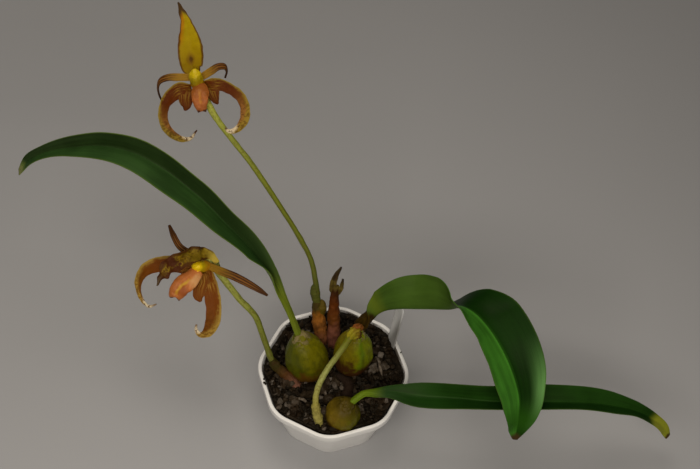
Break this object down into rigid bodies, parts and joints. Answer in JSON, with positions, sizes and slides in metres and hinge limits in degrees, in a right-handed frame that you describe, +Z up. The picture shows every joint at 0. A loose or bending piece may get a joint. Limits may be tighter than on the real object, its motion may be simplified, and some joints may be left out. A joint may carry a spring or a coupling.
{
  "type": "potted orchid",
  "caption": "Potted orchid with ribbed pseudobulbs, long strap leaves and arching stalks of large amber flowers, in a white eight-sided plastic pot filled with bark mix.",
  "frame": {"origin": "centre of the pot's underside, on the surface it stands on", "axes": "+Z up; +X to the right as seen from the pictured side; -Y towards the viewer of the picture"},
  "size_m": [0.4082, 0.1947, 0.2058],
  "materials": {
    "pot_plastic": "smooth white",
    "label_plastic": "plain white",
    "bark_mix": "dark damp bark",
    "rhizome_skin": "dark red-brown, rough",
    "root_skin": "pale, dull",
    "pseudobulb_skin": "olive green, waxy",
    "leaf_blade": "dark green, glossy above",
    "stalk_skin": "yellow-green, satin",
    "shoot_skin": "orange-brown to purple-brown",
    "dry_sheath": "dry, orange-brown",
    "bract_skin": "olive, dull",
    "withered_petal": "dry, orange-brown",
    "column_flesh": "bright yellow, waxy",
    "lip_flesh": "salmon orange, waxy",
    "sepal_flesh": "amber with red-brown markings, waxy",
    "petal_flesh": "amber with brown stripes, waxy"
  },
  "bodies": {
    "root": {"pot": "pot_plastic", "potting_mix": "bark_mix", "plant_label": "label_plastic", "rhizome": "rhizome_skin", "root_1": "root_skin", "root_2": "root_skin", "root_3": "root_skin", "pseudobulb_left": "pseudobulb_skin", "pseudobulb_right": "pseudobulb_skin", "pseudobulb_front": "pseudobulb_skin", "leaf_left": "leaf_blade", "leaf_right": "leaf_blade", "leaf_front": "leaf_blade", "new_shoot": "shoot_skin", "peduncle_upper": "stalk_skin", "peduncle_lower": "stalk_skin", "peduncle_old": "stalk_skin", "sheath_upper": "dry_sheath", "sheath_lower": "dry_sheath", "sheath_old": "dry_sheath", "bract_left": "bract_skin", "bract_right": "bract_skin", "withered_flower": "withered_petal", "upper_column": "column_flesh", "upper_lip": "lip_flesh", "upper_dorsal_sepal": "sepal_flesh", "upper_lateral_sepal_left": "sepal_flesh", "upper_lateral_sepal_right": "sepal_flesh", "upper_petal_left": "petal_flesh", "upper_petal_right": "petal_flesh", "lower_column": "column_flesh", "lower_lip": "lip_flesh", "lower_dorsal_sepal": "sepal_flesh", "lower_lateral_sepal_left": "sepal_flesh", "lower_lateral_sepal_right": "sepal_flesh", "lower_petal_left": "petal_flesh", "lower_petal_right": "petal_flesh"}
  },
  "joints": []
}
